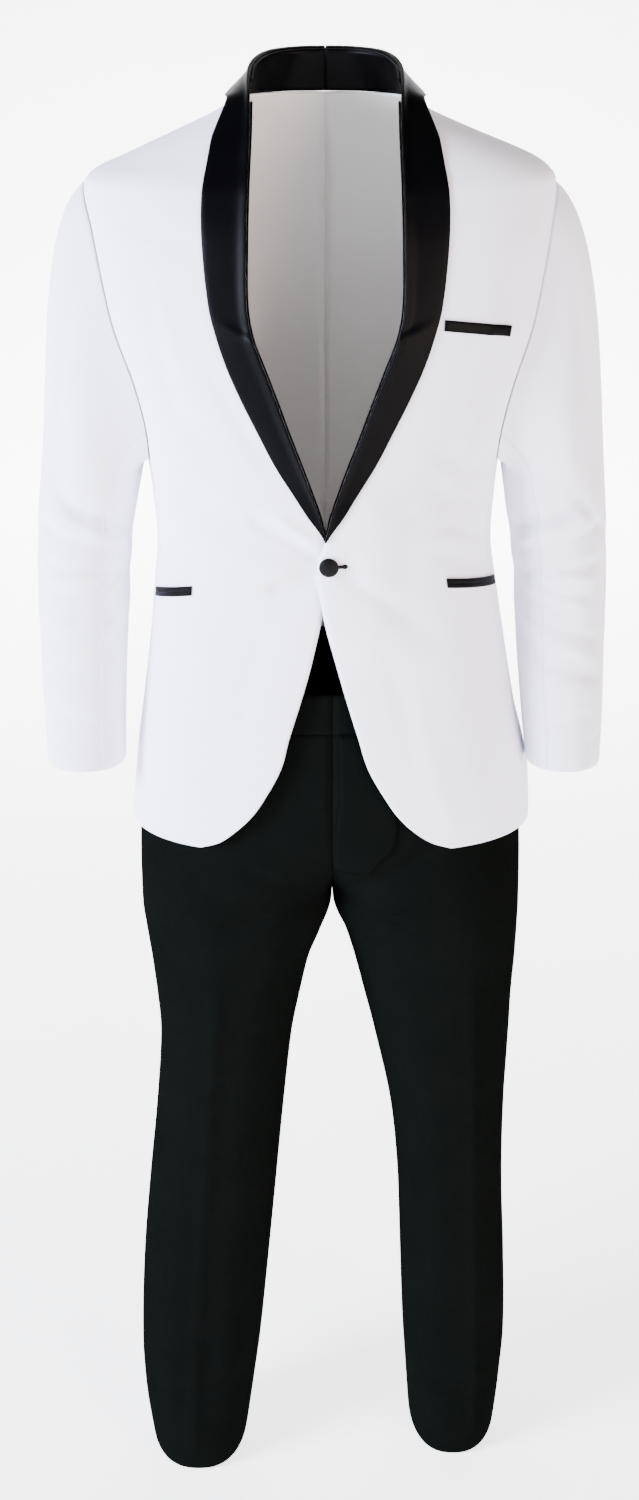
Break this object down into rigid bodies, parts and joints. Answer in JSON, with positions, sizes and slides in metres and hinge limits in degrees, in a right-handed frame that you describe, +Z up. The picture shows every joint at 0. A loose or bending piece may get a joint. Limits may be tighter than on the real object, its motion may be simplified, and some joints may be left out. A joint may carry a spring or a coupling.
{
  "type": "tuxedo, dinner jacket and trousers in worn form",
  "caption": "Worn, hollow tuxedo: white one-button dinner jacket with a black satin shawl collar and satin pocket trims, over plain black trousers.",
  "frame": {"origin": "the middle of the neck line where the wearer's shoulders hold the jacket", "axes": "+Z up, the front faces -Y, +X is the wearer's left"},
  "size_m": [0.5742, 0.2626, 1.5638],
  "materials": {
    "white_wool": "smooth white worsted suiting",
    "black_satin": "black satin facing cloth",
    "black_wool": "matt black worsted suiting",
    "button_satin": "button covered in black cloth"
  },
  "bodies": {
    "root": {"jacket_front_left": "white_wool", "jacket_front_right": "white_wool", "jacket_back_left": "white_wool", "jacket_back_right": "white_wool", "jacket_side_left": "white_wool", "jacket_side_right": "white_wool", "sleeve_top_left": "white_wool", "sleeve_top_right": "white_wool", "sleeve_under_left": "white_wool", "sleeve_under_right": "white_wool", "shawl_left": "black_satin", "shawl_right": "black_satin", "collar_stand_left": "black_satin", "collar_stand_right": "black_satin", "facing_left": "black_satin", "facing_right": "black_satin", "hip_jet_left": "black_satin", "hip_jet_right": "black_satin", "trouser_front_left": "black_wool", "trouser_front_right": "black_wool", "trouser_back_left": "black_wool", "trouser_back_right": "black_wool", "waistband_left": "black_wool", "waistband_right": "black_wool", "breast_welt": "black_satin", "front_button": "button_satin", "fly": "black_wool"}
  },
  "joints": []
}
